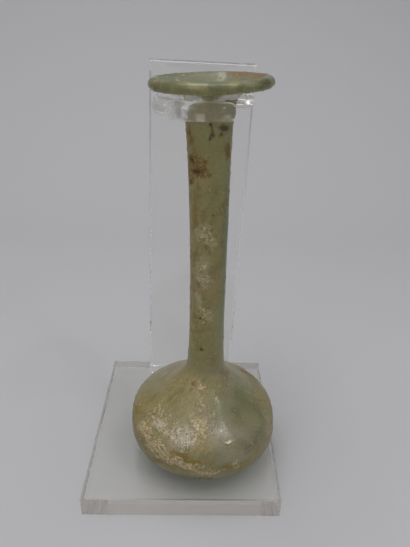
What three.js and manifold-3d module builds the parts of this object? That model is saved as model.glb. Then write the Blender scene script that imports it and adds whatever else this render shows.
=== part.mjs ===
// A glass unguentarium of the candlestick kind on its clear acrylic mount.
// The vessel is one free-blown piece: a squat bulb with a kicked-up base, a long slightly waisted neck
// and a broad rounded rim around a shallow dish. The mount is three glued pieces of clear acrylic: a square-cut
// base plate, an upright at its back edge, and a flat collar below the rim that steadies the neck.
// Millimetres, +Z up. The origin is the centre of the base plate's underside.
import * as THREE from "three";
import { mergeVertices } from "three/addons/utils/BufferGeometryUtils.js";
import Module from "manifold-3d";

const wasm = await Module();
wasm.setup();

// ---- Mount ------------------------------------------------------------------------------------------
const STOCK = 12; // thickness of the acrylic of the base plate and the upright
const GAP = 0.3; // clear space left between pieces that touch
const POLISHED_EDGE = 0.5; // chamfer on every polished acrylic edge
const PLATE_WIDTH = 100;
const PLATE_DEPTH = 110;
const PLATE_CORNER_RADIUS = 0.8;

const UPRIGHT_WIDTH = 53.6;
const UPRIGHT_CENTRE_X = 2.25; // at the foot
const UPRIGHT_TOP = 203.7; // height of the middle of its top edge
const UPRIGHT_LEAN = THREE.MathUtils.degToRad(1.55); // glued slightly out of square, over towards +X

const COLLAR_RADIUS = 21.5;
const COLLAR_X = 8.2;
const COLLAR_Y = -9.5;
const COLLAR_UNDERSIDE = 187.6;
const COLLAR_THICKNESS = 7.2;
const SLOT_RADIUS = 12.6; // the neck's seat in the collar, open to the side so that the neck slides in

// ---- Vessel -----------------------------------------------------------------------------------------
const VESSEL_X = 11.4;
const VESSEL_Y = -11.2;
const FOOT = STOCK + GAP; // level that the vessel stands on
const FOOT_RADIUS = 25.7;
const KICK = 2.4; // rise of the base's middle above its foot
const BULB_RADIUS = 39.3;
const BULB_WIDEST = 11.2; // height of the widest ring above the foot
const SHOULDER_RADIUS = 24.5;
const SHOULDER_HEIGHT = 34;
const NECK_BASE_RADIUS = 9.95;
const NECK_BASE = 50.5;
const WAIST_RADIUS = 8.75;
const WAIST = 88;
const NECK_TOP_RADIUS = 10.3;
const NECK_TOP = 177;
const FLARE_RADIUS = 16.5; // where the flare above the neck lies down into the rim's flat underside
const RIM_RADIUS = 25.3;
const RIM_HEIGHT = 187.9; // middle of the lip
const LIP = 2.35; // half the thickness of the lip
const NECK_WALL = 1.9;
const BULB_WALL = 2.2;
const BASE_WALL = 3.6;
const RIM_TILT = THREE.MathUtils.degToRad(2.3); // the rim stands higher on its +X side
const BULB_SWAY = -1.1; // how far the bulb's upper half stands off the foot's centre
const NECK_SWAY = -1.4; // how far the neck's top curves away
const RIM_SWAY = 0.9; // how far the rim comes back
const ROUND = 48; // sides around the vessel

// Height and radius of a point of the vessel's profile, as the lathe takes it.
const at = (radius, height) => new THREE.Vector2(radius, height);

function bezier(a, b, c, d, steps) {
  return new THREE.CubicBezierCurve(a, b, c, d).getPoints(steps);
}

// The outside, from the middle of the base up to the underside of the lip.
function outsideOfBulb() {
  const foot = bezier(at(0, KICK), at(12, KICK), at(20, 0.4), at(FOOT_RADIUS, 0), 3);
  const belly = bezier(
    at(FOOT_RADIUS, 0),
    at(FOOT_RADIUS + 6.3, 0),
    at(BULB_RADIUS, 5.8),
    at(BULB_RADIUS, BULB_WIDEST),
    7,
  );
  const shoulder = bezier(
    at(BULB_RADIUS, BULB_WIDEST),
    at(BULB_RADIUS, BULB_WIDEST + 16.8),
    at(SHOULDER_RADIUS + 10.9, SHOULDER_HEIGHT - 8.5),
    at(SHOULDER_RADIUS, SHOULDER_HEIGHT),
    8,
  );
  const sweep = bezier(
    at(SHOULDER_RADIUS, SHOULDER_HEIGHT),
    at(SHOULDER_RADIUS - 7, SHOULDER_HEIGHT + 5.4),
    at(NECK_BASE_RADIUS + 0.7, NECK_BASE - 6),
    at(NECK_BASE_RADIUS, NECK_BASE),
    6,
  );
  return [...foot, ...belly.slice(1), ...shoulder.slice(1), ...sweep.slice(1)];
}

function outsideOfNeck() {
  const lower = bezier(
    at(NECK_BASE_RADIUS, NECK_BASE),
    at(NECK_BASE_RADIUS - 0.65, NECK_BASE + 7.5),
    at(WAIST_RADIUS, WAIST - 20),
    at(WAIST_RADIUS, WAIST),
    3,
  );
  const upper = bezier(
    at(WAIST_RADIUS, WAIST),
    at(WAIST_RADIUS, WAIST + 37),
    at(NECK_TOP_RADIUS - 1.35, NECK_TOP - 25),
    at(NECK_TOP_RADIUS, NECK_TOP),
    6,
  );
  return [...lower.slice(1), ...upper.slice(1)];
}

// The flare under the rim, and the rounded lip up to its top.
function rim() {
  const underside = RIM_HEIGHT - LIP;
  const flare = bezier(
    at(NECK_TOP_RADIUS, NECK_TOP),
    at(NECK_TOP_RADIUS + 0.3, underside - 1.6),
    at(NECK_TOP_RADIUS + 2.4, underside - 0.6),
    at(FLARE_RADIUS, underside - 0.4),
    5,
  );
  flare.push(at(RIM_RADIUS - LIP, underside));
  const lip = new THREE.Path()
    .absarc(RIM_RADIUS - LIP, RIM_HEIGHT, LIP, -Math.PI / 2, (Math.PI * 5) / 8, false)
    .getPoints(8);
  return [...flare.slice(1), ...lip.slice(1)];
}

// The dish inside the lip, down to the bore of the neck.
function dish() {
  const lipInside = at(RIM_RADIUS - LIP * 1.38, RIM_HEIGHT + LIP * 0.92);
  const bore = at(NECK_TOP_RADIUS - NECK_WALL, NECK_TOP);
  return bezier(lipInside, at(RIM_RADIUS - 6, RIM_HEIGHT - 0.6), at(bore.x + 1.5, RIM_HEIGHT - 3), bore, 6);
}

// The inside: the outside set in by the wall, which thickens towards the base.
function inside(outside) {
  const wallAt = (height) => {
    const neck = THREE.MathUtils.smoothstep(height, SHOULDER_HEIGHT, NECK_BASE);
    const base = 1 - THREE.MathUtils.smoothstep(height, 0, BULB_WIDEST);
    return THREE.MathUtils.lerp(BULB_WALL, NECK_WALL, neck) + (BASE_WALL - BULB_WALL) * base;
  };
  return outside.map((p, i) => {
    const before = outside[Math.max(i - 1, 0)];
    const after = outside[Math.min(i + 1, outside.length - 1)];
    const along = after.clone().sub(before).normalize();
    const set = at(-along.y, along.x).multiplyScalar(wallAt(p.y));
    return at(i ? Math.max(p.x + set.x, 0) : 0, p.y + (i ? set.y : BASE_WALL));
  });
}

// A free-blown piece is not quite true: the bulb leans, the neck curves near its top and the rim tilts.
function swayAt(height, rimShare) {
  const bulb = Math.sin(Math.PI * THREE.MathUtils.clamp(height / NECK_BASE, 0, 1));
  const neck = Math.max(height - WAIST, 0) / (NECK_TOP - WAIST);
  return BULB_SWAY * bulb + NECK_SWAY * neck * neck + RIM_SWAY * rimShare;
}

function sway(geometry) {
  const position = geometry.attributes.position;
  for (let i = 0; i < position.count; i += 1) {
    const x = position.getX(i);
    const height = position.getZ(i);
    const rimShare = THREE.MathUtils.smoothstep(height, NECK_TOP - 4, RIM_HEIGHT - LIP);
    position.setX(i, x + swayAt(height, rimShare));
    position.setZ(i, height + rimShare * x * Math.tan(RIM_TILT));
  }
  return geometry;
}

function vesselGeometry() {
  const outside = [...outsideOfBulb(), ...outsideOfNeck()];
  const bore = inside(outside).filter((p, i) => i % 2 === 0 && p.y < NECK_TOP - 2);
  const profile = [...outside, ...rim(), ...dish().slice(1), ...bore.reverse()];
  const lathe = new THREE.LatheGeometry(profile, ROUND);
  lathe.rotateX(Math.PI / 2);
  return sway(lathe);
}

// ---- Acrylic ----------------------------------------------------------------------------------------
function chamferedExtrusion(shape, thickness, curveSegments) {
  return new THREE.ExtrudeGeometry(shape, {
    depth: thickness - 2 * POLISHED_EDGE,
    bevelEnabled: true,
    bevelThickness: POLISHED_EDGE,
    bevelSize: POLISHED_EDGE,
    bevelOffset: -POLISHED_EDGE,
    bevelSegments: 1,
    curveSegments,
  }).translate(0, 0, POLISHED_EDGE);
}

function plateGeometry() {
  const halfWidth = PLATE_WIDTH / 2;
  const halfDepth = PLATE_DEPTH / 2;
  const r = PLATE_CORNER_RADIUS;
  const outline = new THREE.Shape();
  outline.absarc(halfWidth - r, halfDepth - r, r, 0, Math.PI / 2, false);
  outline.absarc(-halfWidth + r, halfDepth - r, r, Math.PI / 2, Math.PI, false);
  outline.absarc(-halfWidth + r, -halfDepth + r, r, Math.PI, (Math.PI * 3) / 2, false);
  outline.absarc(halfWidth - r, -halfDepth + r, r, (Math.PI * 3) / 2, Math.PI * 2, false);
  return chamferedExtrusion(outline, STOCK, 3);
}

// The upright's outline stands in the XZ plane: its foot is flat on the plate and its sides lean together.
function uprightGeometry() {
  const height = UPRIGHT_TOP - STOCK - GAP;
  const over = height * Math.tan(UPRIGHT_LEAN);
  const drop = (UPRIGHT_WIDTH / 2) * Math.tan(UPRIGHT_LEAN);
  const half = UPRIGHT_WIDTH / 2;
  const outline = new THREE.Shape();
  outline.moveTo(-half, 0);
  outline.lineTo(half, 0);
  outline.lineTo(half + over, height - drop);
  outline.lineTo(-half + over, height + drop);
  return chamferedExtrusion(outline, STOCK, 1).rotateX(Math.PI / 2);
}

// The collar seen from above: a tongue out from the upright, round at its front end.
function collarOutline(backY) {
  const outline = new THREE.Shape();
  outline.moveTo(COLLAR_RADIUS, backY);
  outline.lineTo(-COLLAR_RADIUS, backY);
  outline.absarc(0, 0, COLLAR_RADIUS, Math.PI, Math.PI * 2, false);
  return outline;
}

// The cutter for the neck's seat: a round end on the neck's axis and straight sides out past the collar's edge.
function slotOutline(seat) {
  const outside = COLLAR_RADIUS * 2;
  const outline = new THREE.Shape();
  outline.moveTo(outside, seat.y - SLOT_RADIUS);
  outline.lineTo(outside, seat.y + SLOT_RADIUS);
  outline.absarc(seat.x, seat.y, SLOT_RADIUS, Math.PI / 2, (Math.PI * 3) / 2, false);
  return outline;
}

function solid(geometry) {
  const plain = geometry.index ? geometry.toNonIndexed() : geometry.clone();
  plain.deleteAttribute("normal");
  plain.deleteAttribute("uv");
  const merged = mergeVertices(plain, 1e-4);
  return new wasm.Manifold(
    new wasm.Mesh({
      numProp: 3,
      vertProperties: merged.attributes.position.array,
      triVerts: new Uint32Array(merged.index.array),
    }),
  );
}

function geometryOf(body) {
  const { vertProperties, triVerts } = body.getMesh();
  const geometry = new THREE.BufferGeometry();
  geometry.setAttribute("position", new THREE.BufferAttribute(vertProperties, 3));
  geometry.setIndex(new THREE.BufferAttribute(triVerts, 1));
  geometry.computeVertexNormals();
  return geometry;
}

function collarGeometry(seat, backY) {
  const tongue = chamferedExtrusion(collarOutline(backY), COLLAR_THICKNESS, 28);
  const overrun = 2;
  const cutter = new THREE.ExtrudeGeometry(slotOutline(seat), {
    depth: COLLAR_THICKNESS + 2 * overrun,
    bevelEnabled: false,
    curveSegments: 20,
  }).translate(0, 0, -overrun);
  return geometryOf(solid(tongue).subtract(solid(cutter)));
}

// ---- Assembly ---------------------------------------------------------------------------------------
const glass = new THREE.MeshStandardMaterial({
  color: 0x8c9168,
  roughness: 0.42,
  metalness: 0,
  transparent: true,
  opacity: 0.75,
});
const acrylic = (color) =>
  new THREE.MeshStandardMaterial({ color, roughness: 0.04, metalness: 0, transparent: true, opacity: 0.25 });

function named(name, geometry, material, x, y, z) {
  const mesh = new THREE.Mesh(geometry, material);
  mesh.name = name;
  mesh.position.set(x, y, z);
  return mesh;
}

const uprightFront = PLATE_DEPTH / 2 - STOCK;
const neckX = VESSEL_X + swayAt(COLLAR_UNDERSIDE - FOOT, 0);
const seat = new THREE.Vector2(neckX - COLLAR_X, VESSEL_Y - COLLAR_Y);
const unguentarium = new THREE.Group();
unguentarium.add(
  named("base_plate", plateGeometry(), acrylic(0xd8d6d0), 0, 0, 0),
  named("upright", uprightGeometry(), acrylic(0xd4d6da), UPRIGHT_CENTRE_X, PLATE_DEPTH / 2, STOCK + GAP),
  named(
    "neck_collar",
    collarGeometry(seat, uprightFront - GAP - COLLAR_Y),
    acrylic(0xdcdad2),
    COLLAR_X,
    COLLAR_Y,
    COLLAR_UNDERSIDE,
  ),
  named("glass_vessel", vesselGeometry(), glass, VESSEL_X, VESSEL_Y, FOOT),
);

export default unguentarium;
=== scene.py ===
"""Looks of a glass unguentarium of the candlestick kind, on its clear acrylic mount.

The vessel is free-blown translucent green glass under a weathering crust: a squat bulb, a long neck and a
broad rim around a shallow dish. The mount is three glued pieces of clear acrylic. Sizes of the vessel are in
millimetres and are worked in its own frame: the foot's centre is the origin and +Z runs up the neck.
"""

import math

import bmesh
import bpy
from mathutils import Matrix, Vector
from mathutils.geometry import interpolate_bezier


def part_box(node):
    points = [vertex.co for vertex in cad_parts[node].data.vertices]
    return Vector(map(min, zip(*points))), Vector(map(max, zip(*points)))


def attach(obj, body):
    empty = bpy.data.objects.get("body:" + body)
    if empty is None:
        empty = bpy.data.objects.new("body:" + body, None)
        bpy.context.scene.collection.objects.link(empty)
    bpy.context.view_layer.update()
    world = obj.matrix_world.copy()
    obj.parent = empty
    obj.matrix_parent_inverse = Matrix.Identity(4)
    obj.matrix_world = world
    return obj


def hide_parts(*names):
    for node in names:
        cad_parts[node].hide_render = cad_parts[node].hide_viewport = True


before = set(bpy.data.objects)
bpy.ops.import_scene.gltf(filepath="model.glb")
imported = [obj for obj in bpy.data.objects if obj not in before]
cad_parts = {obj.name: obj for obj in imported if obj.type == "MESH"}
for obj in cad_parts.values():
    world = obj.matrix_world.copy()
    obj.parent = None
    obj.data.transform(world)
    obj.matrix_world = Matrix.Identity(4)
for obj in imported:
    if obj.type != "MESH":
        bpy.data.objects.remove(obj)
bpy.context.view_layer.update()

MM = 0.001


# ---- Node trees written as Python maths ----------------------------------------------------------------
class Wire:
    """A value, colour or vector on its way through a node tree; operators on it add the nodes they need."""

    def __init__(self, bench, socket):
        self.bench = bench
        self.socket = socket

    def _maths(self, operation, *values):
        kinds = [w.socket.type if isinstance(w, Wire) else None for w in values]
        vector = "VECTOR" in kinds or "RGBA" in kinds or any(isinstance(w, (tuple, Vector)) for w in values)
        kind = "ShaderNodeVectorMath" if vector else "ShaderNodeMath"
        return self.bench.make(kind, {"operation": operation}, values)

    def __add__(self, other):
        return self._maths("ADD", self, other)

    __radd__ = __add__

    def __mul__(self, other):
        return self._maths("MULTIPLY", self, other)

    __rmul__ = __mul__

    def __sub__(self, other):
        return self._maths("SUBTRACT", self, other)

    def __rsub__(self, other):
        return self._maths("SUBTRACT", other, self)

    def __truediv__(self, other):
        return self._maths("DIVIDE", self, other)

    def max(self, other):
        return self._maths("MAXIMUM", self, other)

    def min(self, other):
        return self._maths("MINIMUM", self, other)

    def apply(self, operation):
        """A one-value function such as SINE or ABSOLUTE."""
        return self._maths(operation, self)

    def length(self):
        return self.bench.make("ShaderNodeVectorMath", {"operation": "LENGTH"}, [self], out="Value")

    def part(self, axis):
        return self.bench.make("ShaderNodeSeparateXYZ", {}, [self], out=axis)

    def step(self, low, high):
        """0 at low and 1 at high, with a smooth rise between them; low may be the larger."""
        smooth = {"interpolation_type": "SMOOTHSTEP"}
        return self.bench.make("ShaderNodeMapRange", smooth, [self, low, high, 0.0, 1.0])


class Bench:
    """A node tree being filled."""

    def __init__(self, tree):
        self.tree = tree

    def feed(self, socket, value):
        if isinstance(value, Wire):
            self.tree.links.new(value.socket, socket)
        elif socket.type == "RGBA":
            socket.default_value = (*value, 1.0)
        elif socket.type == "VECTOR" and not isinstance(value, (tuple, Vector)):
            socket.default_value = (value,) * 3
        else:
            socket.default_value = value

    def make(self, kind, settings, sockets, out=0):
        node = self.tree.nodes.new(kind)
        for name, value in settings.items():
            setattr(node, name, value)
        named = sockets.items() if isinstance(sockets, dict) else enumerate(sockets)
        for key, value in named:
            self.feed(node.inputs[key], value)
        return Wire(self, node.outputs[out]) if node.outputs else node

    def join(self, x, y, z):
        return self.make("ShaderNodeCombineXYZ", {}, [x, y, z])

    def noise(self, place, size, detail=3.0, roughness=0.5, out="Fac"):
        """Soft noise whose blotches are about size across."""
        sockets = {"Vector": place, "Scale": 1.0 / size, "Detail": detail, "Roughness": roughness}
        return self.make("ShaderNodeTexNoise", {}, sockets, out=out)

    def blend(self, share, first, second):
        """The second colour laid over the first by share."""
        return self.make("ShaderNodeMix", {"data_type": "RGBA"}, {0: share, 6: first, 7: second}, out=2)


def tone(red, green, blue):
    """A colour as the eye names it, from 0 to 255, turned into the light it reflects."""
    channels = (red / 255, green / 255, blue / 255)
    return tuple(c / 12.92 if c <= 0.04045 else ((c + 0.055) / 1.055) ** 2.4 for c in channels)


# ---- Vessel: its form ----------------------------------------------------------------------------------
FOOT_RADIUS = 25.7
KICK = 2.4
BULB_RADIUS = 39.3
BULB_WIDEST = 11.2
SHOULDER_RADIUS = 24.5
SHOULDER_HEIGHT = 34.0
NECK_BASE_RADIUS = 9.95
NECK_BASE = 50.5
WAIST_RADIUS = 8.75
WAIST = 88.0
NECK_TOP_RADIUS = 10.3
NECK_TOP = 177.0
FLARE_RADIUS = 16.5
RIM_RADIUS = 25.3
RIM_HEIGHT = 187.9
LIP = 2.35
NECK_WALL = 1.9
BULB_WALL = 2.2
BASE_WALL = 3.6
RIM_TILT = math.radians(2.3)
BULB_SWAY = -1.1
NECK_SWAY = -1.4
RIM_SWAY = 0.9
FOOT_STEPS = 16
LIP_STEPS = 18


def smoothstep(value, low, high):
    t = min(max((value - low) / (high - low), 0.0), 1.0)
    return t * t * (3.0 - 2.0 * t)


def arc(points, steps):
    """A smooth run of outline points from the four corners (radius, height) of its curve."""
    corners = [Vector((radius, 0.0, height)) for radius, height in points]
    return [(p.x, p.z) for p in interpolate_bezier(*corners, steps + 1)]


def outside_outline():
    """From the middle of the base up the outside to the top of the neck."""
    foot = [(0, KICK), (12, KICK), (20, 0.4), (FOOT_RADIUS, 0)]
    belly = [(FOOT_RADIUS, 0), (FOOT_RADIUS + 6.3, 0), (BULB_RADIUS, 5.8), (BULB_RADIUS, BULB_WIDEST)]
    shoulder = [
        (BULB_RADIUS, BULB_WIDEST),
        (BULB_RADIUS, BULB_WIDEST + 16.8),
        (SHOULDER_RADIUS + 10.9, SHOULDER_HEIGHT - 8.5),
        (SHOULDER_RADIUS, SHOULDER_HEIGHT),
    ]
    sweep = [
        (SHOULDER_RADIUS, SHOULDER_HEIGHT),
        (SHOULDER_RADIUS - 7, SHOULDER_HEIGHT + 5.4),
        (NECK_BASE_RADIUS + 0.7, NECK_BASE - 6),
        (NECK_BASE_RADIUS, NECK_BASE),
    ]
    lower = [
        (NECK_BASE_RADIUS, NECK_BASE),
        (NECK_BASE_RADIUS - 0.65, NECK_BASE + 7.5),
        (WAIST_RADIUS, WAIST - 20),
        (WAIST_RADIUS, WAIST),
    ]
    upper = [
        (WAIST_RADIUS, WAIST),
        (WAIST_RADIUS, WAIST + 37),
        (NECK_TOP_RADIUS - 1.35, NECK_TOP - 25),
        (NECK_TOP_RADIUS, NECK_TOP),
    ]
    outline = arc(foot, FOOT_STEPS)
    for points, steps in ((belly, 24), (shoulder, 30), (sweep, 24), (lower, 16), (upper, 30)):
        outline += arc(points, steps)[1:]
    return outline


def rim_outline():
    """The flare under the rim, round the lip and down the dish to the bore."""
    underside = RIM_HEIGHT - LIP
    flare = [
        (NECK_TOP_RADIUS, NECK_TOP),
        (NECK_TOP_RADIUS + 0.3, underside - 1.6),
        (NECK_TOP_RADIUS + 2.4, underside - 0.6),
        (FLARE_RADIUS, underside - 0.4),
    ]
    bore = NECK_TOP_RADIUS - NECK_WALL
    dish = [
        (RIM_RADIUS - LIP * 1.38, RIM_HEIGHT + LIP * 0.92),
        (RIM_RADIUS - 6, RIM_HEIGHT - 0.6),
        (bore + 1.5, RIM_HEIGHT - 3),
        (bore, NECK_TOP),
    ]
    outline = arc(flare, 14)[1:]
    for i in range(LIP_STEPS + 1):
        angle = -math.pi / 2 + math.pi * 9 / 8 * i / LIP_STEPS
        outline.append((RIM_RADIUS - LIP + LIP * math.cos(angle), RIM_HEIGHT + LIP * math.sin(angle)))
    return outline + arc(dish, 18)


def inside_outline(outside):
    """The outside set in by the wall, which thickens towards the base, from the middle of the base up."""
    inside = []
    for i, (radius, height) in enumerate(outside):
        before, after = outside[max(i - 1, 0)], outside[min(i + 1, len(outside) - 1)]
        along = Vector((after[0] - before[0], after[1] - before[1])).normalized()
        neck = smoothstep(height, SHOULDER_HEIGHT, NECK_BASE)
        base = 1.0 - smoothstep(height, 0.0, BULB_WIDEST)
        wall = BULB_WALL + (NECK_WALL - BULB_WALL) * neck + (BASE_WALL - BULB_WALL) * base
        if i:
            inside.append((max(radius - along.y * wall, 0.0), height + along.x * wall))
        else:
            inside.append((0.0, height + BASE_WALL))
    return inside


def radius_at(height):
    """Radius of the outside at a height, past the kick of the base."""
    outline = outside_outline()[FOOT_STEPS:] + rim_outline()
    for low, high in zip(outline, outline[1:]):
        if low[1] <= height <= high[1]:
            share = (height - low[1]) / max(high[1] - low[1], 1e-6)
            return low[0] + (high[0] - low[0]) * share
    return RIM_RADIUS


vessel_low, vessel_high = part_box("glass_vessel")
bulb_lean = BULB_SWAY * math.sin(math.pi * BULB_WIDEST / NECK_BASE)
FOOT_CENTRE = Vector(
    (
        (vessel_low.x + vessel_high.x) / 2 / MM - bulb_lean,
        (vessel_low.y + vessel_high.y) / 2 / MM,
        vessel_low.z / MM,
    )
)


# ---- Vessel: where its weathering lies -----------------------------------------------------------------
# Each patch is (turn, height, reach round, reach up, strength): turn in degrees from the front, positive
# to the right, height above the foot, and reaches in millimetres.
CRUST = (
    (-55, 23, 6, 5, 1.0),
    (-42, 21, 10, 5, 0.95),
    (-28, 18, 9, 4, 0.85),
    (-44, 30, 13, 4, 0.6),
    (-21, 28, 9, 5, 0.8),
    (-4, 32, 7, 5, 0.65),
    (-5, 38, 5, 2.5, 0.6),
    (-17, 107, 4, 10, 0.62),
    (-8, 126, 4, 6, 0.6),
    (-14, 86, 4, 6, 0.6),
    (-8, 44, 3, 2, 0.7),
    (-9, 16, 8, 2.5, 0.9),
    (3, 12.5, 8, 2.2, 0.95),
    (25, 16, 2.6, 5, 1.05),
    (68, 20, 3, 4.5, 1.1),
    (64, 15, 2.2, 3, 1.0),
    (150, 24, 14, 6, 0.8),
    (-120, 18, 18, 7, 0.8),
)
OLIVE_CAST = (
    (-62, 26, 34, 20, 1.0),
    (-14, 18, 22, 10, 1.0),
    (22, 13, 22, 5, 0.9),
    (84, 25, 11, 18, 1.2),
    (50, 16, 14, 5, 1.0),
    (-40, 40, 22, 14, 1.2),
    (-5, 26, 12, 13, 0.95),
    (-20, 100, 7, 22, 0.8),
    (-20, 140, 7, 14, 0.8),
    (-34, 110, 12, 70, 1.25),
    (170, 26, 40, 20, 0.7),
    (180, 120, 14, 60, 0.6),
)
MUSTARD = (
    (-20, 22, 8, 2.2, 0.9),
    (-10, 19, 10, 2.0, 0.9),
    (-34, 13, 12, 3.5, 0.8),
    (14, 15, 9, 2.5, 0.7),
    (-57, 168, 5, 9, 0.75),
    (-45, 135, 4, 18, 0.75),
    (-40, 160, 6, 14, 0.7),
    (40, 139, 3.5, 5, 0.7),
    (-75, 24, 8, 12, 0.6),
)
RUST = (
    (-49, 159, 5, 4, 0.9),
    (-40, 154.5, 7, 4.5, 1.0),
    (-24, 158, 4, 3, 0.8),
    (-60, 150, 3.5, 4, 1.0),
    (-8, 153, 6, 3, 0.6),
    (52, 162, 2.6, 6, 0.95),
    (-58, 170, 5, 8, 0.6),
    (23, 169, 3, 2, 0.8),
    (19, 92, 3, 3, 0.55),
    (-27, 83, 3, 1.6, 0.7),
    (-30, 45, 1.6, 5, 0.95),
    (-74, 30, 7, 5, 0.45),
    (-58, 187, 2, 2.5, 0.95),
    (-80, 187, 1.6, 2.5, 0.85),
    (112, 189, 9, 5, 1.4),
    (146, 189, 9, 5, 1.3),
    (205, 90, 5, 20, 0.7),
    (128, 30, 5, 2, 1.0),
    (119, 27, 4, 2, 0.9),
)
SOOT_MARKS = (
    (-2, 169.7, 1.8, 4.0, 1.0),
    (34, 172, 4.0, 2.4, 1.05),
    (23, 169.5, 2.0, 1.2, 0.8),
    (-40, 154, 3.0, 1.8, 0.8),
    (-50, 158, 2.4, 1.6, 0.75),
    (-62, 149, 1.6, 2.0, 0.8),
    (7, 135.4, 1.2, 0.9, 1.0),
    (92, 43.4, 1.2, 0.9, 1.0),
    (-18, 65.6, 2.6, 2.4, 0.85),
    (190, 60, 3.0, 4.0, 0.8),
)
SILVERED = (
    (-21, 28, 9, 6, 1.0),
    (-44, 29, 9, 3, 0.7),
    (-5, 38, 4, 2, 0.8),
    (31, 28, 9, 6, 0.7),
    (33, 189, 2.5, 2.5, 1.0),
)
MILK = (
    (-8, 130, 5, 2.4, 0.7),
    (13, 121, 3.4, 5, 0.7),
    (-17, 107, 6, 12, 1.0),
    (-30, 92, 4, 7, 0.9),
    (4, 84, 4, 5, 0.8),
    (-30, 126, 4, 5, 0.8),
    (-21, 28, 8, 6, 0.8),
    (-44, 29, 14, 5, 0.7),
    (30, 28, 16, 8, 0.35),
)
CLEARED = (
    (42, 32, 24, 18, 1.0),
    (8, 143, 6, 12, 0.5),
)
# Painted shade: darker green low on the bulb's front, down its right side and at the rim's right end. On the
# neck's right edge it is painted shade together with the darker green of glass where the crust is thin.
SHADED_GREEN = (
    (55, 35, 7, 12, 0.55),
    (-9, 7, 14, 3.5, 1.0),
    (-49, 18, 5, 3, 0.8),
    (62, 120, 4.5, 80, 0.8),
    (54, 188, 5, 4, 1.3),
)


def on_glass(turn, height):
    """The point of the vessel's outside at a turn from its front and a height."""
    radius = radius_at(height)
    angle = math.radians(turn)
    return Vector((radius * math.sin(angle), -radius * math.cos(angle), height))


def patches(place, spots):
    """How strongly a set of patches covers each point, fading from each one's middle."""
    total = None
    for turn, height, across, up, strength in spots:
        away = ((place - on_glass(turn, height)) / Vector((across, across, up))).length()
        cover = away.step(1.5, 0.0) * strength
        total = cover if total is None else total.max(cover)
    return total


def weathering(bench, place):
    """What the relief and the colour of the weathering share, from a place in the vessel's own frame."""
    coarse = bench.noise(place, 8.0, 4.0, 0.6)
    fine = bench.noise(place, 1.9, 4.0, 0.65)
    drift = bench.noise(place, 5.0, 3.0, 0.55, out="Color") - 0.5
    bent = place + drift * 5.0
    crust = (patches(bent, CRUST) * 0.9 + (coarse - 0.5) * 1.0 + (fine - 0.5) * 2.1).step(0.22, 0.54)
    return coarse, fine, bent, crust


# ---- Vessel: its mesh ----------------------------------------------------------------------------------
def outline_mesh(points):
    mesh = bpy.data.meshes.new("vessel_outline")
    edges = [(i, i + 1) for i in range(len(points) - 1)]
    mesh.from_pydata([(radius, 0.0, height) for radius, height in points], edges, [])
    return mesh


def geometry_bench(name, numbers):
    """A Geometry Nodes tree with a geometry input and output and named numbers."""
    tree = bpy.data.node_groups.new(name, "GeometryNodeTree")
    tree.interface.new_socket("Geometry", in_out="OUTPUT", socket_type="NodeSocketGeometry")
    tree.interface.new_socket("Outline", in_out="INPUT", socket_type="NodeSocketGeometry")
    for label, value in numbers.items():
        kind = "NodeSocketInt" if isinstance(value, int) else "NodeSocketFloat"
        tree.interface.new_socket(label, in_out="INPUT", socket_type=kind)
    bench = Bench(tree)
    start = tree.nodes.new("NodeGroupInput")
    return bench, {socket.name: Wire(bench, socket) for socket in start.outputs if socket.name}


def grown_mesh(name, tree, mesh, numbers):
    """The plain mesh that a tree makes of a mesh."""
    seed = bpy.data.objects.new(name + "_seed", mesh)
    bpy.context.scene.collection.objects.link(seed)
    modifier = seed.modifiers.new("grow", "NODES")
    modifier.node_group = tree
    for item in tree.interface.items_tree:
        if item.in_out == "INPUT" and item.name in numbers:
            modifier[item.identifier] = numbers[item.name]
    bpy.context.view_layer.update()
    graph = bpy.context.evaluated_depsgraph_get()
    evaluated = seed.evaluated_get(graph)
    grown = bpy.data.meshes.new_from_object(evaluated, preserve_all_data_layers=True, depsgraph=graph)
    grown.name = name
    bpy.data.objects.remove(seed)
    return grown


def piece(name, mesh):
    obj = bpy.data.objects.new(name, mesh)
    bpy.context.scene.collection.objects.link(obj)
    return obj


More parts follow.
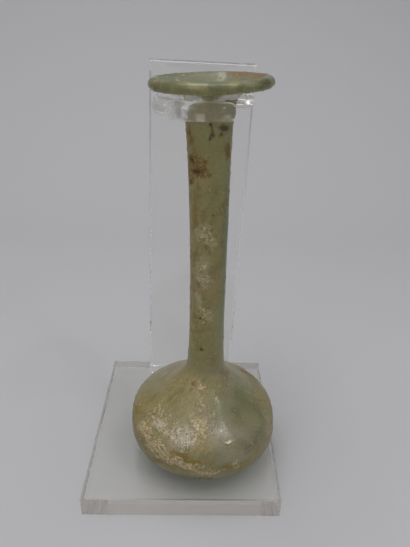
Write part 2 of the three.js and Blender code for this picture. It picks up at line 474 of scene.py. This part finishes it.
def vessel_mesh(material):
    outside = outside_outline()
    rim = rim_outline()
    inside = [p for p in inside_outline(outside) if p[1] < NECK_TOP - 2.0]
    outline = outside + rim + inside[::-1]
    lengths = [math.dist(a, b) for a, b in zip(outline, outline[1:])]
    skin_share = sum(lengths[: len(outside) + len(rim) - 1]) / sum(lengths)
    skin_rings = 0.7

    numbers = {"Rings": 390, "Sides": 224, "Crust": 0.5, "Wobble": 0.5}
    bench, given = geometry_bench("free_blown_vessel", numbers)
    curve = bench.make("GeometryNodeMeshToCurve", {}, [given["Outline"]])
    grid = bench.make(
        "GeometryNodeMeshGrid",
        {},
        {"Size X": 1.0, "Size Y": 1.0, "Vertices X": given["Rings"], "Vertices Y": given["Sides"] + 1.0},
        out="Mesh",
    )
    here = bench.make("GeometryNodeInputPosition", {}, [])
    along = here.part("X") + 0.5
    grid = bench.make(
        "GeometryNodeStoreNamedAttribute",
        {"data_type": "FLOAT", "domain": "POINT"},
        {"Geometry": grid, "Name": "skin", "Value": along.step(skin_rings + 0.02, skin_rings - 0.02)},
    )
    turn = (here.part("Y") + 0.5) * (2.0 * math.pi)
    up_skin = along * (skin_share / skin_rings)
    down_bore = 1.0 - (1.0 - along) * ((1.0 - skin_share) / (1.0 - skin_rings))
    share = up_skin.max(down_bore)
    point = bench.make(
        "GeometryNodeSampleCurve",
        {"mode": "FACTOR", "use_all_curves": True},
        {"Curves": curve, "Factor": share},
        out="Position",
    )
    radius, height = point.part("X"), point.part("Z")
    round_place = bench.join(radius * turn.apply("SINE"), radius * turn.apply("COSINE") * -1.0, height)
    skin = bench.make("GeometryNodeSetPosition", {}, {"Geometry": grid, "Position": round_place})
    skin = bench.make("GeometryNodeMergeByDistance", {}, {"Geometry": skin, "Distance": 0.0005})
    skin = bench.make("GeometryNodeFlipFaces", {}, [skin])

    here = bench.make("GeometryNodeInputPosition", {}, [])
    facing = bench.make("GeometryNodeInputNormal", {}, [])
    outer = bench.make("GeometryNodeInputNamedAttribute", {"data_type": "FLOAT"}, {"Name": "skin"})
    _, fine, _, crust = weathering(bench, here)
    swell = bench.noise(here, 38.0, 1.0) - 0.5
    relief = crust * given["Crust"] * (0.4 + fine) - 0.2 + swell * given["Wobble"] + (fine - 0.5) * 0.14
    relief = relief.min(0.0) * outer * here.part("Z").step(0.2, 4.0)
    skin = bench.make("GeometryNodeSetPosition", {}, {"Geometry": skin, "Offset": facing * relief})

    here = bench.make("GeometryNodeInputPosition", {}, [])
    height = here.part("Z")
    in_bulb = (height / NECK_BASE).max(0.0).min(1.0)
    up_neck = (height - WAIST).max(0.0) / (NECK_TOP - WAIST)
    rim_share = height.step(NECK_TOP - 4.0, RIM_HEIGHT - LIP)
    sway = (in_bulb * math.pi).apply("SINE") * BULB_SWAY + up_neck * up_neck * NECK_SWAY
    sway = sway + rim_share * RIM_SWAY
    lift = rim_share * here.part("X") * math.tan(RIM_TILT)
    swayed = (here + bench.join(sway, 0.0, lift) + FOOT_CENTRE) * MM
    skin = bench.make("GeometryNodeSetPosition", {}, {"Geometry": skin, "Position": swayed})
    skin = bench.make("GeometryNodeSetShadeSmooth", {}, {"Geometry": skin})
    skin = bench.make("GeometryNodeRealizeInstances", {}, [skin])
    skin = bench.make("GeometryNodeSetMaterial", {}, {"Geometry": skin, "Material": material})
    end = bench.tree.nodes.new("NodeGroupOutput")
    bench.feed(end.inputs[0], skin)
    return grown_mesh("weathered_vessel", bench.tree, outline_mesh(outline), numbers)


# ---- Materials -----------------------------------------------------------------------------------------
def material_bench(name):
    material = bpy.data.materials.new(name)
    material.use_nodes = True
    material.node_tree.nodes.clear()
    return material, Bench(material.node_tree)


def finish_material(bench, surface):
    bench.make("ShaderNodeOutputMaterial", {}, {"Surface": surface})


GLOW = tone(152, 144, 104)
STREAK_RUN = Vector((0.45, 0.25, 0.86))
GLASS_TINT = tone(214, 222, 188)
CLEAR_FILM = tone(166, 160, 124)
WARM_FILM = tone(184, 170, 144)
BLUE_FILM = tone(144, 152, 138)
OLIVE = tone(150, 140, 84)
OLIVE_DEEP = tone(120, 112, 58)
TAN = tone(158, 140, 96)
MUSTARD_BROWN = tone(136, 108, 34)
SAND = tone(174, 158, 124)
CREAM = tone(210, 196, 168)
SILVER = tone(186, 180, 178)
NECK_OLIVE = tone(154, 146, 90)
FRECKLE = tone(98, 84, 46)
UMBER = tone(122, 100, 58)
RIM_DEPOSIT = tone(120, 98, 78)
MILKY = tone(170, 164, 134)
RUST_BROWN = tone(100, 68, 14)
ORANGE_BROWN = tone(130, 98, 42)
SOOT = tone(58, 46, 28)
# Green of painted shade on the bulb and neck, partly the glass's own darker green where the crust is thin.
SHADE_BOTTLE_GREEN = tone(92, 106, 64)
# Deep green of painted shade at the rim's right end.
RIM_SHADE_GREEN = tone(44, 58, 34)
LIP_GREEN = tone(86, 96, 66)
# Lighter green painted on the dish, standing in for light shining through its thin glass.
LIT_DISH_GREEN = tone(128, 132, 112)


def let_light_through(bench, surface, tint):
    """Lamps and soft light reach what lies behind clear stuff; the eye still sees it bend and mirror."""
    open_way = bench.make("ShaderNodeBsdfTransparent", {}, {"Color": tint})
    for ray in ("Is Diffuse Ray", "Is Shadow Ray"):
        passing = bench.make("ShaderNodeLightPath", {}, [], out=ray)
        surface = bench.make("ShaderNodeMixShader", {}, [passing, surface, open_way])
    return surface


def weathered_glass():
    material, bench = material_bench("weathered_green_glass")
    place = bench.make("ShaderNodeTexCoord", {}, [], out="Object") / MM - FOOT_CENTRE
    height = place.part("Z")
    coarse, fine, bent, crust = weathering(bench, place)
    broad = bench.noise(place, 22.0, 3.0, 0.55)
    speck = bench.noise(place, 0.8, 3.0, 0.7)
    slant = STREAK_RUN.normalized()
    dot = {"operation": "DOT_PRODUCT"}
    along_slant = bench.make("ShaderNodeVectorMath", dot, [place, slant], out="Value")
    squeezed = {0: slant, "Scale": along_slant * 0.8}
    drawn = place - bench.make("ShaderNodeVectorMath", {"operation": "SCALE"}, squeezed)
    streak = bench.noise(drawn, 2.6, 4.0, 0.6)
    mottle = coarse - 0.5
    grit = fine - 0.5

    olive = (patches(bent, OLIVE_CAST) * 0.9 + mottle * 1.0 + grit * 0.4).step(0.2, 0.75)
    mustard = (patches(bent, MUSTARD) + mottle * 1.2 + grit * 0.9).step(0.4, 0.8)
    rust = (patches(bent, RUST) + mottle * 1.0 + grit * 1.5).step(0.42, 0.66)
    soot = (patches(bent, SOOT_MARKS) + mottle * 0.8 + grit * 1.6).step(0.38, 0.8)
    silver = (patches(bent, SILVERED) + mottle * 0.8 + (speck - 0.5) * 2.4).step(0.5, 0.9)
    milk = (patches(bent, MILK) + mottle * 0.9 + grit * 0.9).step(0.35, 0.8)
    cleared = (patches(bent, CLEARED) + mottle * 0.3).step(0.15, 0.7)
    # Where painted shade darkens the glass; on the neck's right edge it also stands for the darker green of
    # thinly crusted glass.
    shade = (patches(bent, SHADED_GREEN) + mottle * 0.4).step(0.15, 0.8)
    in_rim = height.step(180.0, 184.0)
    from_axis = (place * Vector((1.0, 1.0, 0.0))).length()
    in_dish = in_rim * from_axis.step(23.5, 21.0) * height.step(182.0, 186.0)

    film = bench.blend(broad.step(0.4, 0.62), CLEAR_FILM, WARM_FILM)
    film = bench.blend(bench.noise(place, 15.0, 2.0).step(0.5, 0.7) * 0.5, film, BLUE_FILM)
    film = bench.blend(height.step(38.0, 60.0) * 0.7, film, NECK_OLIVE)
    film = bench.blend(coarse.step(0.48, 0.62) * 0.45, film, UMBER)
    film = bench.blend(fine.step(0.5, 0.64) * 0.45, film, MILKY)
    film = bench.blend(streak.step(0.54, 0.66) * 0.5, film, OLIVE)
    film = bench.blend(speck.step(0.54, 0.64) * 0.45, film, FRECKLE)
    yellow = bench.blend(coarse.step(0.35, 0.65), OLIVE_DEEP, OLIVE)
    yellow = bench.blend(streak.step(0.45, 0.58) * 0.85, yellow, TAN)
    yellow = bench.blend(streak.step(0.42, 0.34) * 0.6, yellow, FRECKLE)
    yellow = bench.blend(fine.step(0.5, 0.62) * 0.55, yellow, UMBER)
    yellow = bench.blend(speck.step(0.53, 0.62) * 0.7, yellow, SAND)
    yellow = bench.blend(speck.step(0.42, 0.34) * 0.5, yellow, OLIVE_DEEP)
    sandy = bench.blend(fine.step(0.42, 0.66), TAN, SAND)
    sandy = bench.blend(speck.step(0.48, 0.62), sandy, CREAM)
    sandy = bench.blend(coarse.step(0.5, 0.35) * 0.5, sandy, MUSTARD_BROWN)
    sandy = bench.blend(speck.step(0.44, 0.36) * 0.7, sandy, FRECKLE)
    brown = bench.blend(fine.step(0.4, 0.62), RUST_BROWN, ORANGE_BROWN)
    brown = bench.blend(speck.step(0.54, 0.62) * 0.8, brown, SAND)
    brown = bench.blend(speck.step(0.45, 0.37) * 0.8, brown, SOOT)
    brown = bench.blend(in_rim * coarse.step(0.3, 0.6) * 0.8, brown, RIM_DEPOSIT)

    colour = bench.blend(olive * (1.0 - cleared * 0.75) * 0.9, film, yellow)
    # Painted shade laid over the colour, partly the darker green of thinly crusted glass.
    colour = bench.blend(shade * 0.7, colour, SHADE_BOTTLE_GREEN)
    colour = bench.blend(mustard * 0.8, colour, MUSTARD_BROWN)
    colour = bench.blend(milk * 0.6, colour, MILKY)
    colour = bench.blend(in_rim * coarse.step(0.3, 0.6) * 0.85, colour, LIP_GREEN)
    # Painted light: the dish is coloured lighter where light shines through its thin glass.
    colour = bench.blend(in_dish * 0.8, colour, LIT_DISH_GREEN)
    # Painted shade at the rim's right end.
    colour = bench.blend(in_rim * shade * 0.85, colour, RIM_SHADE_GREEN)
    colour = bench.blend(crust * 0.92, colour, sandy)
    colour = bench.blend(silver * speck.step(0.44, 0.58) * 0.75, colour, SILVER)
    colour = bench.blend(rust * 0.9, colour, brown)
    colour = bench.blend(soot * 0.95, colour, SOOT)
    outer = bench.make("ShaderNodeAttribute", {"attribute_name": "skin"}, [], out="Fac")
    marks = olive * 0.2 + crust * 0.5 + rust * 0.4 + soot * 0.5 + milk * 0.2
    cover = (0.62 - cleared * 0.2 + marks).min(1.0) * (0.3 + outer * 0.7)

    height_map = fine * 0.5 + speck * 0.35 + crust * 0.5
    grain = {"Strength": 0.8, "Distance": 0.0006, "Height": height_map}
    bump = bench.make("ShaderNodeBump", {}, grain, out="Normal")
    dullness = 0.3 - cleared * 0.12 + crust * 0.4 + rust * 0.3 + fine * 0.1
    clear = bench.make(
        "ShaderNodeBsdfPrincipled",
        {},
        {"Base Color": GLASS_TINT, "Roughness": 0.15, "IOR": 1.5, "Transmission Weight": 1.0},
    )
    clear = let_light_through(bench, clear, GLASS_TINT)
    crusted = bench.make(
        "ShaderNodeBsdfPrincipled",
        {},
        {"Base Color": colour, "Roughness": dullness, "Normal": bump},
    )
    glow = bench.make("ShaderNodeBsdfTranslucent", {}, {"Color": GLOW})
    film_surface = bench.make("ShaderNodeMixShader", {}, [0.3, crusted, glow])
    surface = bench.make("ShaderNodeMixShader", {}, [cover, clear, film_surface])
    finish_material(bench, surface)
    return material


SAWN_DEPTH = 0.1
PLATE_SAWN = 0.3
COLLAR_SAWN = 0.05


def plate_edges(where):
    """The sawn upright faces of the base plate."""
    low, high = (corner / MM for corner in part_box("base_plate"))
    middle, half = (low + high) / 2, (high - low) / 2
    sides = (where.part("X") - middle.x).apply("ABSOLUTE").step(half.x - SAWN_DEPTH, half.x - SAWN_DEPTH / 5)
    ends = (where.part("Y") - middle.y).apply("ABSOLUTE").step(half.y - SAWN_DEPTH, half.y - SAWN_DEPTH / 5)
    return sides.max(ends) * PLATE_SAWN


def collar_edges(where):
    """The collar's rounded edge, between its flat top and underside."""
    low, high = (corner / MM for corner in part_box("neck_collar"))
    half = (high.z - low.z) / 2
    return (where.part("Z") - (low.z + half)).apply("ABSOLUTE").step(half, half * 0.7) * COLLAR_SAWN


def clear_acrylic(name, roughness, edges=None):
    """Clear sheet with a little dust; edges gives where and how much it scatters the light."""
    material, bench = material_bench(name)
    where = bench.make("ShaderNodeTexCoord", {}, [], out="Object") / MM
    dust = bench.noise(where, 1.4, 2.0, 0.7).step(0.66, 0.8) * 0.06
    if edges:
        dust = dust + edges(where)
    glass = bench.make(
        "ShaderNodeBsdfPrincipled",
        {},
        {"Base Color": (0.97, 0.965, 0.95), "Roughness": roughness, "IOR": 1.49, "Transmission Weight": 1.0},
    )
    lint = bench.make("ShaderNodeBsdfPrincipled", {}, {"Base Color": tone(176, 168, 160), "Roughness": 0.9})
    surface = bench.make("ShaderNodeMixShader", {}, [dust, glass, lint])
    finish_material(bench, let_light_through(bench, surface, (0.95, 0.95, 0.935)))
    return material


# ---- Collar --------------------------------------------------------------------------------------------
SEAT_RADIUS = 12.6
TIP_ROUND = 2.4
COLLAR_EDGE = 2.8


def bend(centre, radius, start, end, steps):
    """Points round a circle from one direction to another, both in radians."""
    angles = [start + (end - start) * i / steps for i in range(steps + 1)]
    return [(centre[0] + radius * math.cos(a), centre[1] + radius * math.sin(a)) for a in angles]


def collar_outline(low, high, neck):
    """The collar from above: a round-fronted tongue, with a seat for the neck that opens to the right."""
    radius = (high.x - low.x) / 2
    middle = (low.x + radius, low.y + radius)
    tip_y = neck[1] - SEAT_RADIUS - TIP_ROUND
    tip = (middle[0] + math.sqrt((radius - TIP_ROUND) ** 2 - (tip_y - middle[1]) ** 2), tip_y)
    tip_turn = math.atan2(tip[1] - middle[1], tip[0] - middle[0])
    quarter = math.pi / 2
    points = bend(middle, radius, -2 * quarter, tip_turn, 72)
    points += bend(tip, TIP_ROUND, tip_turn, quarter, 12)[1:]
    points += bend(neck, SEAT_RADIUS, -quarter, -3 * quarter, 72)
    points += bend((high.x - TIP_ROUND, neck[1] + SEAT_RADIUS + TIP_ROUND), TIP_ROUND, -quarter, 0.0, 10)
    return points + [(high.x, high.y), (low.x, high.y)]


def collar_mesh(material):
    low, high = (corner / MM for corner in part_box("neck_collar"))
    height = low.z - FOOT_CENTRE.z
    neck = (FOOT_CENTRE.x + NECK_SWAY * ((height - WAIST) / (NECK_TOP - WAIST)) ** 2, FOOT_CENTRE.y)
    curve = bpy.data.curves.new("collar_outline", "CURVE")
    curve.dimensions = "2D"
    curve.fill_mode = "BOTH"
    curve.extrude = (high.z - low.z) / 2 - COLLAR_EDGE
    curve.bevel_depth = COLLAR_EDGE
    curve.bevel_resolution = 4
    curve.offset = -COLLAR_EDGE
    points = collar_outline(low, high, neck)
    spline = curve.splines.new("POLY")
    spline.points.add(len(points) - 1)
    for spot, (x, y) in zip(spline.points, points):
        spot.co = (x, y, 0.0, 1.0)
    spline.use_cyclic_u = True
    seed = piece("collar_seed", curve)
    bpy.context.view_layer.update()
    graph = bpy.context.evaluated_depsgraph_get()
    mesh = bpy.data.meshes.new_from_object(seed.evaluated_get(graph), depsgraph=graph)
    bpy.data.objects.remove(seed)
    mesh.transform(Matrix.Scale(MM, 4) @ Matrix.Translation((0.0, 0.0, (low.z + high.z) / 2)))
    work = bmesh.new()
    work.from_mesh(mesh)
    bmesh.ops.remove_doubles(work, verts=work.verts, dist=1e-6)
    bmesh.ops.recalc_face_normals(work, faces=work.faces)
    work.to_mesh(mesh)
    work.free()
    mesh.shade_smooth()
    mesh.set_sharp_from_angle(angle=math.radians(32.0))
    mesh.materials.clear()
    mesh.materials.append(material)
    return mesh


# ---- Stage ---------------------------------------------------------------------------------------------
CAMERA_AT = (6.05, -216.86, 220.44)
CAMERA_LENS = 31.95
CAMERA_PAN = -1.07
CAMERA_DIP = 27.16
CAMERA_ROLL = 1.41


def camera():
    data = bpy.data.cameras.new("camera")
    data.lens = CAMERA_LENS
    data.clip_start = 0.01
    obj = bpy.data.objects.new("camera", data)
    bpy.context.scene.collection.objects.link(obj)
    turned = (
        Matrix.Rotation(math.radians(CAMERA_PAN), 4, "Z")
        @ Matrix.Rotation(math.radians(90.0 - CAMERA_DIP), 4, "X")
        @ Matrix.Rotation(math.radians(CAMERA_ROLL), 4, "Z")
    )
    obj.matrix_world = Matrix.Translation(Vector(CAMERA_AT) * MM) @ turned
    bpy.context.scene.camera = obj


def soft_light(name, at, aim, size, energy, colour=(1.0, 1.0, 1.0)):
    data = bpy.data.lights.new(name, "AREA")
    data.shape = "RECTANGLE"
    data.size, data.size_y = size
    data.energy = energy
    data.color = colour
    obj = bpy.data.objects.new(name, data)
    bpy.context.scene.collection.objects.link(obj)
    obj.location = at
    obj.rotation_euler = (Vector(aim) - Vector(at)).to_track_quat("-Z", "Y").to_euler()


def floor():
    """A pale sheet that lies under the stand and sweeps up behind it."""
    front, start, radius, top, half = -1.4, 0.30, 0.35, 1.8, 1.8
    profile = [(front, 0.0), (start, 0.0)]
    steps = 24
    for i in range(1, steps + 1):
        angle = math.pi / 2 * i / steps
        profile.append((start + radius * math.sin(angle), radius * (1.0 - math.cos(angle))))
    profile.append((start + radius, top))
    under_plate = 0.0003
    points = [(side * half, y, z - under_plate) for y, z in profile for side in (-1, 1)]
    faces = [(2 * i, 2 * i + 1, 2 * i + 3, 2 * i + 2) for i in range(len(profile) - 1)]
    mesh = bpy.data.meshes.new("pale_sweep")
    mesh.from_pydata(points, [], faces)
    mesh.shade_smooth()
    obj = piece("pale_sweep", mesh)
    material, bench = material_bench("pale_paper")
    finish_material(
        bench,
        bench.make("ShaderNodeBsdfPrincipled", {}, {"Base Color": (0.36, 0.36, 0.375), "Roughness": 0.9}),
    )
    mesh.materials.append(material)


def surroundings():
    world = bpy.data.worlds.new("studio")
    bpy.context.scene.world = world
    world.use_nodes = True
    world.node_tree.nodes["Background"].inputs["Color"].default_value = (1.0, 0.99, 0.98, 1.0)
    world.node_tree.nodes["Background"].inputs["Strength"].default_value = 0.45


bpy.context.scene.view_settings.view_transform = "Standard"
paths = bpy.context.scene.cycles
paths.max_bounces = paths.glossy_bounces = paths.transmission_bounces = 20
camera()
surroundings()
floor()
AIM = (0.01, 0.0, 0.1)
soft_light("overhead", (-0.15, -0.15, 1.1), AIM, (0.9, 0.7), 5.0)
for x in (-0.33, -0.16, 0.37, 0.62):
    soft_light("tube", (x, 0.0, 1.2), (x, 0.0, 0.0), (0.07, 1.1), 1.4)
soft_light("fill", (-0.7, -0.9, 0.7), AIM, (0.6, 0.6), 2.5)
for x, y, z in ((0.41, -0.40, 0.64), (0.30, -0.22, 0.75)):
    soft_light("sparkle", (x, y, z), AIM, (0.03, 0.012), 0.3)

glass = weathered_glass()
vessel = piece("weathered_vessel", vessel_mesh(glass))
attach(vessel, "root")
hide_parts("glass_vessel")

collar = piece("polished_collar", collar_mesh(clear_acrylic("soft_polished_acrylic", 0.1, collar_edges)))
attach(collar, "root")
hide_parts("neck_collar")
for node, edges in (("base_plate", plate_edges), ("upright", None)):
    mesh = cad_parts[node].data
    mesh.materials.clear()
    mesh.materials.append(clear_acrylic(f"clear_acrylic_{node}", 0.02, edges))
